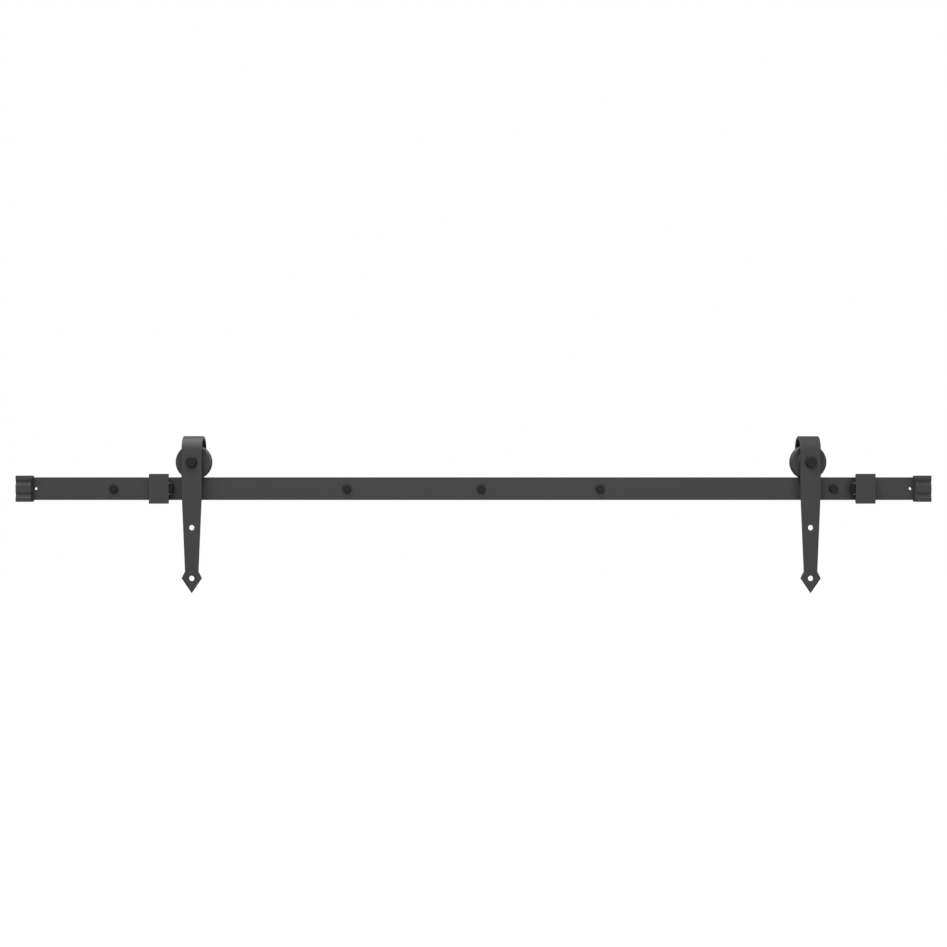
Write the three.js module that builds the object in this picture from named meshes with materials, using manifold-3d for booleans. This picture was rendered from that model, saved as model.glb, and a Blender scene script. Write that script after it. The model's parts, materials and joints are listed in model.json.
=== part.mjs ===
// A flat-bar sliding track for a small barn door: a rail on five stand-offs, two clamped stoppers,
// two end caps, and two bent-strap hangers whose grooved wheels roll on the rail's top edge.
//
// Millimetres. +X runs along the rail, +Y goes into the wall, +Z is up. The origin is on the wall
// plane, at the rail's mid-length and on its centreline.

import * as THREE from "three";
import { mergeVertices } from "three/addons/utils/BufferGeometryUtils.js";
import Module from "manifold-3d";

const wasm = await Module();
wasm.setup();

// ---- Driving dimensions ---------------------------------------------------------------------

const SEAT_GAP = 0.1; // between two faces that press on each other
const SLOT_GAP = 0.15; // all round the rail inside a cap or a stopper
const BORE_GAP = 0.2; // radial, between a shank and the hole it passes through

// Rail and its wall fixings
const RAIL_LENGTH = 1200;
const RAIL_HEIGHT = 30;
const RAIL_THICKNESS = 5;
const STAND_OFF_LENGTH = 25;
const STAND_OFF_R = 11;
const FIXING_X = [-475, -167, 10, 167, 475];
const FIXING_HOLE_R = 3.3;
const END_HOLE_X = [-578.2, 577];
const END_HOLE_R = 2;
const LAG_SHANK_R = 2.9;
const LAG_LENGTH = 60; // under the head
const LAG_TIP = 6;
const LAG_HEAD_FLATS = 10;
const LAG_HEAD_HEIGHT = 4;

// End caps
const CAP_REACH = 18; // how far a cap slides onto the rail
const CAP_END_WALL = 1.9;
const CAP_HEIGHT = 34.6;
const CAP_FRONT = 10; // stands this far in front of the rail's front face
const CAP_REAR = 1.5; // and this far behind its back face
const CAP_GROOVE_Z = 8.3;
const CAP_GROOVE_MOUTH = 8;
const CAP_GROOVE_DEPTH = 1.6;

// Stoppers
const STOPPER_X = { left: -412.5, right: 514 };
const FACE_LENGTH = 26;
const FACE_HEIGHT = 39.2;
const FACE_THICKNESS = 2;
const FACE_FRONT = 15; // the face plate stands this far in front of the rail's front face
const CLAMP_X = [-12, 7]; // the clamp behind the plate, from its middle, inward positive
const CLAMP_HEIGHT = 37.2;
const CLAMP_REAR = 6.8; // stands this far behind the rail's back face
const LIP_Z = 7.2;
const LIP_HEIGHT = 2.4;
const LIP_REACH = 3;
const LIP_DEPTH = 10;
const BUMPER_REACH = 5;
const BUMPER_MARGIN = 0.5; // the bumper is this much shorter than the lips at each end
const SET_SCREW_R = 1.95;
const SET_SCREW_SPREAD = 5; // from the clamp's middle
const SET_SCREW_SOCKET_FLATS = 2;
const SET_SCREW_SOCKET_DEPTH = 2;

// Hanger straps
const HANGER_X = { left: -369.5, right: 442 };
const STRAP_WIDTH = 26.5;
const STRAP_THICKNESS = 4;
const LOOP_OUTER_R = 17.5;
const LOOP_CENTRE_ABOVE_AXLE = 16.9;
const BACK_LEG_BELOW_AXLE = 16;
const TAPER_START_Z = -2;
const NECK_WIDTH = 17.4;
const NECK_ABOVE_TIP = 28.4;
const TIP_BELOW_AXLE = 172;
const DOOR_HOLE_R = 3.5;
const LOWER_HOLE_ABOVE_TIP = 19.4; // level with the arrowhead's widest point
const DOOR_HOLE_SPACING = 66.5;

// Wheels
const WHEEL_R = 23;
const TREAD_R = 20;
const WHEEL_WIDTH = 16;
const TREAD_WIDTH = 5.8;
const GROOVE_MOUTH = 8;
const WHEEL_CHAMFER = 0.8;
const HUB_R = 14;
const HUB_WIDTH = 21;

// Wheel bearing, axle and sleeves
const BEARING_OUTER_R = 11;
const BEARING_WIDTH = 7;
const BALL_COUNT = 7;
const BALL_R = 1.95;
const BALL_PITCH_R = 7.5;
const RACE_GROOVE_R = 2.1;
const OUTER_RACE_INNER_R = 9;
const INNER_RACE_OUTER_R = 6;
const POCKET_SHOULDER_R = 8.5;
const CAGE_R = [6.8, 8.2];
const CAGE_WIDTH = 2.4;
const SHIELD_R = [6.3, 8.8];
const SHIELD_THICKNESS = 0.5;
const SHIELD_INSET = 0.3;
const AXLE_R = 3.9;
const AXLE_HEX_FLATS = 13;
const AXLE_HEAD_HEIGHT = 5.3;
const AXLE_NUT_HEIGHT = 6.5;
const AXLE_PAST_NUT = 1;

// Facets round a full turn
const COARSE = 24;
const MEDIUM = 28;
const FINE = 40;
const BALL_FACETS = { around: 8, down: 6 };
const RACE_GROOVE_FACETS = 3; // from one side of a race's groove to the other

// ---- Places worked out from them ------------------------------------------------------------

const RAIL_BACK_Y = -STAND_OFF_LENGTH;
const RAIL_MID_Y = RAIL_BACK_Y - RAIL_THICKNESS / 2;
const RAIL_FRONT_Y = RAIL_BACK_Y - RAIL_THICKNESS;
const RAIL_TOP_Z = RAIL_HEIGHT / 2;
const AXLE_Z = RAIL_TOP_Z + TREAD_R + SEAT_GAP;
const TIP_Z = AXLE_Z - TIP_BELOW_AXLE;
const LOOP_CENTRE_Z = AXLE_Z + LOOP_CENTRE_ABOVE_AXLE;
const LOOP_INNER_R = LOOP_OUTER_R - STRAP_THICKNESS;
const AXLE_BORE_R = AXLE_R + BORE_GAP;

// ---- Geometry helpers -----------------------------------------------------------------------

// A closed three.js geometry as a solid that can be joined and cut.
function solid(geometry) {
  const bare = geometry.clone();
  bare.deleteAttribute("normal");
  bare.deleteAttribute("uv");
  const welded = mergeVertices(bare);
  return new wasm.Manifold(
    new wasm.Mesh({
      numProp: 3,
      vertProperties: welded.attributes.position.array,
      triVerts: new Uint32Array(welded.index.array),
    }),
  );
}

// A solid back as a flat-shaded three.js geometry.
function geometryOf(body) {
  const { vertProperties, triVerts } = body.getMesh();
  const geometry = new THREE.BufferGeometry();
  geometry.setAttribute("position", new THREE.BufferAttribute(vertProperties, 3));
  geometry.setIndex(new THREE.BufferAttribute(triVerts, 1));
  const flat = geometry.toNonIndexed();
  flat.computeVertexNormals();
  return flat;
}

const join = (...bodies) => bodies.reduce((all, body) => all.add(body));
const cut = (body, ...tools) => tools.reduce((rest, tool) => rest.subtract(tool), body);

function box(x, y, z) {
  const geometry = new THREE.BoxGeometry(x[1] - x[0], y[1] - y[0], z[1] - z[0]);
  geometry.translate((x[0] + x[1]) / 2, (y[0] + y[1]) / 2, (z[0] + z[1]) / 2);
  return solid(geometry);
}

// A round or prismatic bar along Y.
function barY(radius, y, sides = COARSE) {
  const geometry = new THREE.CylinderGeometry(radius, radius, y[1] - y[0], sides);
  geometry.translate(0, (y[0] + y[1]) / 2, 0);
  return solid(geometry);
}

// The same along Z.
function barZ(radius, z, sides = COARSE) {
  const geometry = new THREE.CylinderGeometry(radius, radius, z[1] - z[0], sides);
  geometry.rotateX(Math.PI / 2);
  geometry.translate(0, 0, (z[0] + z[1]) / 2);
  return solid(geometry);
}

// A profile of [radius, y] points, turned about the Y axis.
function turned(profile, sides) {
  const points = profile.map(([radius, y]) => new THREE.Vector2(radius, y));
  return solid(new THREE.LatheGeometry(points, sides));
}

// A ring between two radii and two Y planes.
function ring([inner, outer], [y0, y1], sides) {
  const corners = [[inner, y0], [outer, y0], [outer, y1], [inner, y1], [inner, y0]];
  return turned(corners, sides);
}

// A shape drawn in X and Z, given thickness along Y.
function plate(shape, y, curveSegments = COARSE) {
  const options = { depth: y[1] - y[0], bevelEnabled: false, curveSegments };
  const geometry = new THREE.ExtrudeGeometry(shape, options);
  geometry.rotateX(Math.PI / 2);
  geometry.translate(0, y[1], 0);
  return solid(geometry);
}

// A shape drawn in Y and Z, given length along X.
function extrusion(shape, x, curveSegments = COARSE) {
  const options = { depth: x[1] - x[0], bevelEnabled: false, curveSegments };
  const geometry = new THREE.ExtrudeGeometry(shape, options);
  const yAxis = new THREE.Vector3(0, 1, 0);
  const zAxis = new THREE.Vector3(0, 0, 1);
  const xAxis = new THREE.Vector3(1, 0, 0);
  geometry.applyMatrix4(new THREE.Matrix4().makeBasis(yAxis, zAxis, xAxis));
  geometry.translate(x[0], 0, 0);
  return solid(geometry);
}

function outline(corners) {
  return new THREE.Shape(corners.map(([a, b]) => new THREE.Vector2(a, b)));
}

const hexRadius = (acrossFlats) => acrossFlats / Math.sqrt(3);

// ---- Finishes -------------------------------------------------------------------------------

const finish = (color, roughness, metalness) => ({ color, roughness, metalness });
const POWDER_COAT = finish(0x484848, 0.55, 0.1);
const BLACK_OXIDE = finish(0x303032, 0.4, 0.7);
const BEARING_STEEL = finish(0xb4b6b8, 0.25, 1);
const CAGE_NYLON = finish(0xd8d4c4, 0.6, 0);
const BUMPER_RUBBER = finish(0x141414, 0.85, 0);
const CAP_PLASTIC = finish(0x464646, 0.65, 0);

function piece(name, body, look) {
  const mesh = new THREE.Mesh(geometryOf(body), new THREE.MeshStandardMaterial(look));
  mesh.name = name;
  return mesh;
}

// ---- Rail and wall fixings ------------------------------------------------------------------

function railBar() {
  const end = RAIL_LENGTH / 2;
  const bar = box([-end, end], [RAIL_FRONT_Y, RAIL_BACK_Y], [-RAIL_TOP_Z, RAIL_TOP_Z]);
  const through = [RAIL_FRONT_Y - 1, RAIL_BACK_Y + 1];
  const fixings = FIXING_X.map((x) => barY(FIXING_HOLE_R, through).translate([x, 0, 0]));
  const ends = END_HOLE_X.map((x) => barY(END_HOLE_R, through).translate([x, 0, 0]));
  return cut(bar, ...fixings, ...ends);
}

// A tube that holds the rail off the wall.
function standOff() {
  return ring([FIXING_HOLE_R, STAND_OFF_R], [RAIL_BACK_Y + SEAT_GAP, 0], MEDIUM);
}

// A hex-headed wood screw, head in front of the rail and pointed end in the wall.
function lagScrew() {
  const seat = RAIL_FRONT_Y - SEAT_GAP;
  const head = barY(hexRadius(LAG_HEAD_FLATS), [seat - LAG_HEAD_HEIGHT, seat], 6);
  const point = seat + LAG_LENGTH;
  const profile = [[0, seat - 1], [LAG_SHANK_R, seat - 1], [LAG_SHANK_R, point - LAG_TIP], [0, point]];
  return join(head, turned(profile, COARSE));
}

// ---- End caps -------------------------------------------------------------------------------

// A pushed-on block, with two V grooves along its face and a blind slot that takes the rail.
function endCap(side) {
  const front = -RAIL_THICKNESS / 2 - CAP_FRONT;
  const rear = RAIL_THICKNESS / 2 + CAP_REAR;
  const top = CAP_HEIGHT / 2;
  const groove = (z) => [
    [front, z + CAP_GROOVE_MOUTH / 2],
    [front + CAP_GROOVE_DEPTH, z],
    [front, z - CAP_GROOVE_MOUTH / 2],
  ];
  const profile = outline([
    [front, -top],
    [rear, -top],
    [rear, top],
    [front, top],
    ...groove(CAP_GROOVE_Z),
    ...groove(-CAP_GROOVE_Z),
  ]);
  const block = extrusion(profile, [-CAP_REACH, CAP_END_WALL]);
  const slotY = RAIL_THICKNESS / 2 + SLOT_GAP;
  const slotZ = RAIL_TOP_Z + SLOT_GAP;
  const slot = box([-CAP_REACH - 1, SEAT_GAP], [-slotY, slotY], [-slotZ, slotZ]);
  const turn = side > 0 ? 0 : 180;
  return cut(block, slot).rotate([0, turn, 0]).translate([side * RAIL_LENGTH / 2, RAIL_MID_Y, 0]);
}

// ---- Stoppers -------------------------------------------------------------------------------
// Each is drawn about its own middle. inward is +1 when the hanger comes from +X, -1 from -X.

const span = (a, b) => [Math.min(a, b), Math.max(a, b)];
const FACE_FRONT_Y = RAIL_FRONT_Y - FACE_FRONT;
const LIP_REAR_Y = FACE_FRONT_Y + LIP_DEPTH;
const CLAMP_MID_X = (CLAMP_X[0] + CLAMP_X[1]) / 2;
const SET_SCREW_X = {
  inner: CLAMP_MID_X + SET_SCREW_SPREAD,
  outer: CLAMP_MID_X - SET_SCREW_SPREAD,
};

// A thin face plate on a clamp that wraps the rail, with a nose that carries two lips.
function stopperBlock(inward) {
  const half = FACE_LENGTH / 2;
  const top = FACE_HEIGHT / 2;
  const clampTop = CLAMP_HEIGHT / 2;
  const noseTop = LIP_Z + LIP_HEIGHT / 2;
  const inPlateY = FACE_FRONT_Y + FACE_THICKNESS / 2;
  const face = box([-half, half], [FACE_FRONT_Y, FACE_FRONT_Y + FACE_THICKNESS], [-top, top]);
  const clamp = box(
    span(inward * CLAMP_X[0], inward * CLAMP_X[1]),
    [inPlateY, RAIL_BACK_Y + CLAMP_REAR],
    [-clampTop, clampTop],
  );
  const nose = box(
    span(inward * (CLAMP_X[1] - 1), inward * half),
    [inPlateY, LIP_REAR_Y],
    [-noseTop, noseTop],
  );
  const lips = [-LIP_Z, LIP_Z].map((z) =>
    box(
      span(inward * (half - 1), inward * (half + LIP_REACH)),
      [FACE_FRONT_Y, LIP_REAR_Y],
      [z - LIP_HEIGHT / 2, z + LIP_HEIGHT / 2],
    ),
  );
  const slotZ = RAIL_TOP_Z + SLOT_GAP;
  const slot = box(
    [-half - 1, half + 1],
    [RAIL_FRONT_Y - SLOT_GAP, RAIL_BACK_Y + SLOT_GAP],
    [-slotZ, slotZ],
  );
  const screwHoles = Object.values(SET_SCREW_X).map((x) =>
    barZ(SET_SCREW_R + SLOT_GAP, [-top - 1, -RAIL_TOP_Z]).translate([inward * x, RAIL_MID_Y, 0]),
  );
  return cut(join(face, clamp, nose, ...lips), slot, ...screwHoles);
}

// A rubber pad held between the stopper's two lips, which meets the edge of the strap.
function stopperBumper(inward) {
  const half = FACE_LENGTH / 2;
  const top = LIP_Z - LIP_HEIGHT / 2 - SLOT_GAP;
  return box(
    span(inward * (half + SEAT_GAP), inward * (half + BUMPER_REACH)),
    [FACE_FRONT_Y + BUMPER_MARGIN, LIP_REAR_Y - BUMPER_MARGIN],
    [-top, top],
  );
}

// A grub screw that presses up on the rail's lower edge, with its hex socket facing down.
function setScrew() {
  const low = -CLAMP_HEIGHT / 2 + SEAT_GAP;
  const shank = barZ(SET_SCREW_R, [low, -RAIL_TOP_Z - SEAT_GAP], COARSE);
  const socketTop = low + SET_SCREW_SOCKET_DEPTH;
  return cut(shank, barZ(hexRadius(SET_SCREW_SOCKET_FLATS), [low - 1, socketTop], 6));
}

// ---- Hangers, drawn about the axle's X ------------------------------------------------------

const FRONT_LEG_FRONT_Y = RAIL_MID_Y - LOOP_OUTER_R;
const FRONT_LEG_REAR_Y = RAIL_MID_Y - LOOP_INNER_R;
const BACK_LEG_FRONT_Y = RAIL_MID_Y + LOOP_INNER_R;
const BACK_LEG_REAR_Y = RAIL_MID_Y + LOOP_OUTER_R;
const BEARING_FRONT_Y = RAIL_MID_Y - BEARING_WIDTH / 2;
const BEARING_REAR_Y = RAIL_MID_Y + BEARING_WIDTH / 2;

// The strap's side view: a long front leg, a half-round loop over the wheel, a short back leg.
function strapSide() {
  const shape = new THREE.Shape();
  const backEnd = AXLE_Z - BACK_LEG_BELOW_AXLE;
  shape.moveTo(FRONT_LEG_FRONT_Y, TIP_Z);
  shape.lineTo(FRONT_LEG_FRONT_Y, LOOP_CENTRE_Z);
  shape.absarc(RAIL_MID_Y, LOOP_CENTRE_Z, LOOP_OUTER_R, Math.PI, 0, true);
  shape.lineTo(BACK_LEG_REAR_Y, backEnd);
  shape.lineTo(BACK_LEG_FRONT_Y, backEnd);
  shape.lineTo(BACK_LEG_FRONT_Y, LOOP_CENTRE_Z);
  shape.absarc(RAIL_MID_Y, LOOP_CENTRE_Z, LOOP_INNER_R, 0, Math.PI, false);
  shape.lineTo(FRONT_LEG_REAR_Y, TIP_Z);
  shape.closePath();
  return shape;
}

// The front leg from in front: parallel past the wheel, tapering to a neck, then an arrowhead.
function frontOutline(top) {
  const wide = STRAP_WIDTH / 2;
  const neck = NECK_WIDTH / 2;
  const right = [
    [wide, top],
    [wide, TAPER_START_Z],
    [neck, TIP_Z + NECK_ABOVE_TIP],
    [wide, TIP_Z + LOWER_HOLE_ABOVE_TIP],
  ];
  const left = right.map(([x, z]) => [-x, z]).reverse();
  return outline([...right, [0, TIP_Z], ...left]);
}

// The back leg: parallel, with a half-round end.
function backOutline(top) {
  const half = STRAP_WIDTH / 2;
  const endCentre = AXLE_Z - BACK_LEG_BELOW_AXLE + half;
  const shape = new THREE.Shape();
  shape.moveTo(half, top);
  shape.lineTo(half, endCentre);
  shape.absarc(0, endCentre, half, 0, Math.PI, true);
  shape.lineTo(-half, top);
  shape.closePath();
  return shape;
}

function hangerStrap() {
  const above = LOOP_CENTRE_Z + LOOP_OUTER_R + 1;
  const half = STRAP_WIDTH / 2;
  const bent = extrusion(strapSide(), [-half, half], COARSE / 2);
  const front = plate(frontOutline(above), [FRONT_LEG_FRONT_Y - 1, RAIL_MID_Y]);
  const back = plate(backOutline(above), [RAIL_MID_Y, BACK_LEG_REAR_Y + 1], COARSE / 2);
  const through = [FRONT_LEG_FRONT_Y - 1, BACK_LEG_REAR_Y + 1];
  const axleHole = barY(AXLE_BORE_R, through).translate([0, 0, AXLE_Z]);
  const lowHoleZ = TIP_Z + LOWER_HOLE_ABOVE_TIP;
  const doorHoles = [lowHoleZ, lowHoleZ + DOOR_HOLE_SPACING].map((z) =>
    barY(DOOR_HOLE_R, through).translate([0, 0, z]),
  );
  return cut(bent.intersect(join(front, back)), axleHole, ...doorHoles);
}

// A grooved wheel with a raised hub and a bearing pocket that opens at the front.
function wheel() {
  const face = WHEEL_WIDTH / 2;
  const hub = HUB_WIDTH / 2;
  const mouth = GROOVE_MOUTH / 2;
  const tread = TREAD_WIDTH / 2;
  const pocket = BEARING_OUTER_R + SEAT_GAP;
  const shoulder = BEARING_WIDTH / 2 + SEAT_GAP;
  return turned(
    [
      [pocket, -hub],
      [HUB_R, -hub],
      [HUB_R, -face],
      [WHEEL_R - WHEEL_CHAMFER, -face],
      [WHEEL_R, -face + WHEEL_CHAMFER],
      [WHEEL_R, -mouth],
      [TREAD_R, -tread],
      [TREAD_R, tread],
      [WHEEL_R, mouth],
      [WHEEL_R, face - WHEEL_CHAMFER],
      [WHEEL_R - WHEEL_CHAMFER, face],
      [HUB_R, face],
      [HUB_R, hub],
      [POCKET_SHOULDER_R, hub],
      [POCKET_SHOULDER_R, shoulder],
      [pocket, shoulder],
      [pocket, -hub],
    ],
    FINE,
  );
}

// Points along a race's ball groove, from one side of the race to the other.
function raceGroove(raceR, outward) {
  const lean = Math.acos(Math.abs(raceR - BALL_PITCH_R) / RACE_GROOVE_R);
  return Array.from({ length: RACE_GROOVE_FACETS + 1 }, (_, i) => {
    const angle = lean * (1 - (2 * i) / RACE_GROOVE_FACETS);
    const radius = BALL_PITCH_R + outward * RACE_GROOVE_R * Math.cos(angle);
    return [radius, outward * RACE_GROOVE_R * Math.sin(angle)];
  });
}

function outerRace() {
  const half = BEARING_WIDTH / 2;
  return turned(
    [
      [OUTER_RACE_INNER_R, -half],
      [BEARING_OUTER_R, -half],
      [BEARING_OUTER_R, half],
      [OUTER_RACE_INNER_R, half],
      ...raceGroove(OUTER_RACE_INNER_R, 1),
      [OUTER_RACE_INNER_R, -half],
    ],
    MEDIUM,
  );
}

function innerRace() {
  const half = BEARING_WIDTH / 2;
  return turned(
    [
      [AXLE_BORE_R, -half],
      [INNER_RACE_OUTER_R, -half],
      ...raceGroove(INNER_RACE_OUTER_R, -1),
      [INNER_RACE_OUTER_R, half],
      [AXLE_BORE_R, half],
      [AXLE_BORE_R, -half],
    ],
    MEDIUM,
  );
}

// The balls, held at even spacing by a ring that passes through them.
function ballsAndCage() {
  const cage = ring(CAGE_R, [-CAGE_WIDTH / 2, CAGE_WIDTH / 2], MEDIUM);
  const balls = Array.from({ length: BALL_COUNT }, (_, i) => {
    const ball = new THREE.SphereGeometry(BALL_R, BALL_FACETS.around, BALL_FACETS.down);
    const angle = (i * 2 * Math.PI) / BALL_COUNT;
    ball.translate(BALL_PITCH_R * Math.cos(angle), 0, BALL_PITCH_R * Math.sin(angle));
    return solid(ball);
  });
  return join(cage, ...balls);
}

function shield(facing) {
  const outerFace = facing * (BEARING_WIDTH / 2 - SHIELD_INSET);
  return ring(SHIELD_R, span(outerFace, outerFace - facing * SHIELD_THICKNESS), COARSE);
}

// A tube round the axle, from a strap leg to the bearing's inner race.
function sleeve(legY, raceY) {
  const [front, rear] = span(legY, raceY);
  return ring([AXLE_BORE_R, INNER_RACE_OUTER_R], [front + SEAT_GAP, rear - SEAT_GAP], COARSE);
}

function axleBolt() {
  const seat = FRONT_LEG_FRONT_Y - SEAT_GAP;
  const head = barY(hexRadius(AXLE_HEX_FLATS), [seat - AXLE_HEAD_HEIGHT, seat], 6);
  const end = BACK_LEG_REAR_Y + SEAT_GAP + AXLE_NUT_HEIGHT + AXLE_PAST_NUT;
  return join(head, barY(AXLE_R, [seat - 1, end]));
}

function axleNut() {
  const seat = BACK_LEG_REAR_Y + SEAT_GAP;
  const body = barY(hexRadius(AXLE_HEX_FLATS), [seat, seat + AXLE_NUT_HEIGHT], 6);
  return cut(body, barY(AXLE_BORE_R, [seat - 1, seat + AXLE_NUT_HEIGHT + 1]));
}

// ---- Assembly -------------------------------------------------------------------------------

function trackGroup() {
  const group = new THREE.Group();
  group.add(piece("rail_bar", railBar(), POWDER_COAT));
  group.add(piece("left_end_cap", endCap(-1), CAP_PLASTIC));
  group.add(piece("right_end_cap", endCap(1), CAP_PLASTIC));
  FIXING_X.forEach((x, i) => {
    const tube = piece(`stand_off_${i + 1}`, standOff(), POWDER_COAT);
    const screw = piece(`lag_screw_${i + 1}`, lagScrew(), BLACK_OXIDE);
    tube.position.x = x;
    screw.position.x = x;
    group.add(tube, screw);
  });
  return group;
}

function stopperGroup(side) {
  const inward = side === "left" ? 1 : -1;
  const group = new THREE.Group();
  group.add(piece(`${side}_stopper_block`, stopperBlock(inward), POWDER_COAT));
  group.add(piece(`${side}_stopper_bumper`, stopperBumper(inward), BUMPER_RUBBER));
  for (const [place, x] of Object.entries(SET_SCREW_X)) {
    const screw = piece(`${side}_stopper_set_screw_${place}`, setScrew(), BLACK_OXIDE);
    screw.position.set(inward * x, RAIL_MID_Y, 0);
    group.add(screw);
  }
  group.position.x = STOPPER_X[side];
  return group;
}

// The wheel, its bearing's moving parts and the fixed inner race share one centre.
function wheelGroup(side) {
  const group = new THREE.Group();
  group.add(piece(`${side}_wheel`, wheel(), POWDER_COAT));
  group.add(piece(`${side}_bearing_outer_race`, outerRace(), BEARING_STEEL));
  group.add(piece(`${side}_bearing_inner_race`, innerRace(), BEARING_STEEL));
  group.add(piece(`${side}_bearing_ball_cage`, ballsAndCage(), CAGE_NYLON));
  group.add(piece(`${side}_bearing_front_shield`, shield(-1), BEARING_STEEL));
  group.add(piece(`${side}_bearing_rear_shield`, shield(1), BEARING_STEEL));
  group.position.set(0, RAIL_MID_Y, AXLE_Z);
  return group;
}

function axleGroup(side) {
  const group = new THREE.Group();
  group.add(piece(`${side}_axle_bolt`, axleBolt(), BLACK_OXIDE));
  group.add(piece(`${side}_axle_nut`, axleNut(), BLACK_OXIDE));
  const front = sleeve(FRONT_LEG_REAR_Y, BEARING_FRONT_Y);
  const rear = sleeve(BACK_LEG_FRONT_Y, BEARING_REAR_Y);
  group.add(piece(`${side}_front_sleeve`, front, BLACK_OXIDE));
  group.add(piece(`${side}_rear_sleeve`, rear, BLACK_OXIDE));
  group.position.z = AXLE_Z;
  return group;
}

function hangerGroup(side) {
  const group = new THREE.Group();
  group.add(piece(`${side}_hanger_strap`, hangerStrap(), POWDER_COAT));
  group.add(wheelGroup(side), axleGroup(side));
  group.position.x = HANGER_X[side];
  return group;
}

const track = new THREE.Group();
track.name = "barn_door_track";
track.add(trackGroup());
for (const side of ["left", "right"]) {
  track.add(stopperGroup(side), hangerGroup(side));
}

export default track;
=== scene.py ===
"""A barn door track in a white studio: rail, fixings, stoppers, end caps and rolling hangers.

Shapes are worked out in millimetres and placed by the frame's own boxes, then shrunk to metres.
"""
import json
import math

import bmesh
import bpy
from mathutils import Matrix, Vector


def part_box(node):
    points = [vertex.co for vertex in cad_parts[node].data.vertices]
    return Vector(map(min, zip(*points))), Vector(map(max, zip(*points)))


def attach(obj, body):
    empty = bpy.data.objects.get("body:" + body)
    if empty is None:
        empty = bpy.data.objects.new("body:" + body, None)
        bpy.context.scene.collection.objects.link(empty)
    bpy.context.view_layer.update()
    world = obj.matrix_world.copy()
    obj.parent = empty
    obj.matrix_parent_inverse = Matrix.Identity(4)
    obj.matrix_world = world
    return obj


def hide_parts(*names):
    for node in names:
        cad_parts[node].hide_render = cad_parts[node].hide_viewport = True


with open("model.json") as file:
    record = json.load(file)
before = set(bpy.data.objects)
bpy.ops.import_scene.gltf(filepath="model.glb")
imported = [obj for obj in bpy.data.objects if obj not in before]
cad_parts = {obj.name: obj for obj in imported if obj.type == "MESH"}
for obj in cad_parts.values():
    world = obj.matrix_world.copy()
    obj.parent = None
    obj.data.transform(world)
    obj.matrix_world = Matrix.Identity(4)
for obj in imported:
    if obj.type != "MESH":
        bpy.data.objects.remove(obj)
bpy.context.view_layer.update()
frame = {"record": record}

MM = 0.001
SIDES = {"left": 1, "right": -1}  # the way along X that each side's stopper faces
FIXINGS = range(1, 6)

# ---- Sizes that the boxes don't give, in millimetres -----------------------------------------

RAIL_EDGE = 0.4
FIXING_HOLE_R = 3.3
END_HOLE_R = 2.0
END_HOLE_INSET = {"left": 21.8, "right": 23.0}  # from the rail's end
STAND_OFF_EDGE = 0.6

LAG_FLATS = 10.0
LAG_HEAD = 4.0
LAG_SHANK_R = 2.9
LAG_THREAD_DEPTH = 0.75
LAG_PITCH = 2.6
LAG_PLAIN = 24.0  # unthreaded length under the head
LAG_POINT = 9.0

CAP_GROOVE_Z = 8.3
CAP_GROOVE_MOUTH = 8.0
CAP_GROOVE_DEPTH = 1.6
CAP_GROOVE_R = 0.2  # at the bottom of a groove
CAP_CORNER_R = 0.8
CAP_WALL = 1.8  # the end wall, behind the slot
CAP_EDGE = 0.5
SLOT_GAP = 0.15  # round the rail, in a cap or a stopper
SLOT_EDGE = 0.1

FACE_LENGTH = 26.0
FACE_THICKNESS = 2.0
FACE_EDGE = 0.45
CLAMP_INSET = 1.0  # the clamp's outer end is this far inside the face plate's
CLAMP_LENGTH = 19.0
CLAMP_HEIGHT = 37.2
CLAMP_EDGE = 0.8
CLAMP_CORNER_R = 1.0
CLAMP_SLOT_R = 0.12
NOSE_INSET = 0.15  # the nose stays this far inside the lips' outline
NOSE_ROOT = 3.0  # how far the nose starts inside the clamp
NOSE_EDGE = 0.3
LIP_Z = 7.2
LIP_HEIGHT = 2.4
LIP_REACH = 3.0
LIP_ROOT = 2.0  # how far a lip starts inside the face plate
LIP_EDGE = 0.4
LIP_SET_BACK = 0.04  # the lips' front is this far behind the face plate's
BUMPER_MARGIN = 0.5  # the bumper is this much shorter than the lips
BUMPER_EDGE = 1.1

SET_SCREW_HOLE_R = 2.1
SET_SCREW_HOLE_FLARE = 0.4
SET_SCREW_SOCKET_FLATS = 2.0
SET_SCREW_SOCKET_DEPTH = 2.0
SET_SCREW_SOCKET_POINT = 0.4  # the drill point below the socket
SET_SCREW_SOCKET_FLARE = 0.15
SET_SCREW_RIM = 0.4  # the socket end is this much smaller in radius than the thread
SET_SCREW_TIP = 0.6  # and the other end this much
SET_SCREW_THREAD_INSET = (0.35, 0.5)  # the thread's start and end, from the screw's ends
M4_PITCH = 0.7
M4_THREAD_DEPTH = 0.3

STRAP_THICKNESS = 4.0
STRAP_EDGE = 0.6
LOOP_CENTRE_ABOVE_AXLE = 16.9
BACK_LEG_BELOW_AXLE = 16.0
TAPER_START_ABOVE_TIP = 134.9
TAPER_START_R = 3.0
NECK_WIDTH = 17.4
NECK_ABOVE_TIP = 28.4
NECK_R = 0.4
DOOR_HOLE_R = 3.5
LOWER_HOLE_ABOVE_TIP = 19.4
DOOR_HOLE_SPACING = 66.5

TREAD_R = 20.0
TREAD_WIDTH = 5.8
TREAD_CORNER_R = 0.5
WHEEL_WIDTH = 16.0
WHEEL_EDGE = 1.0
GROOVE_MOUTH = 8.0
GROOVE_EDGE = 0.6
HUB_R = 14.0
HUB_EDGE = 0.8
HUB_FILLET = 1.6
POCKET_SHOULDER_R = 8.5
POCKET_GAP = 0.1  # round the bearing
POCKET_EDGE = 0.3
POCKET_CORNER_R = 0.2

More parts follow.
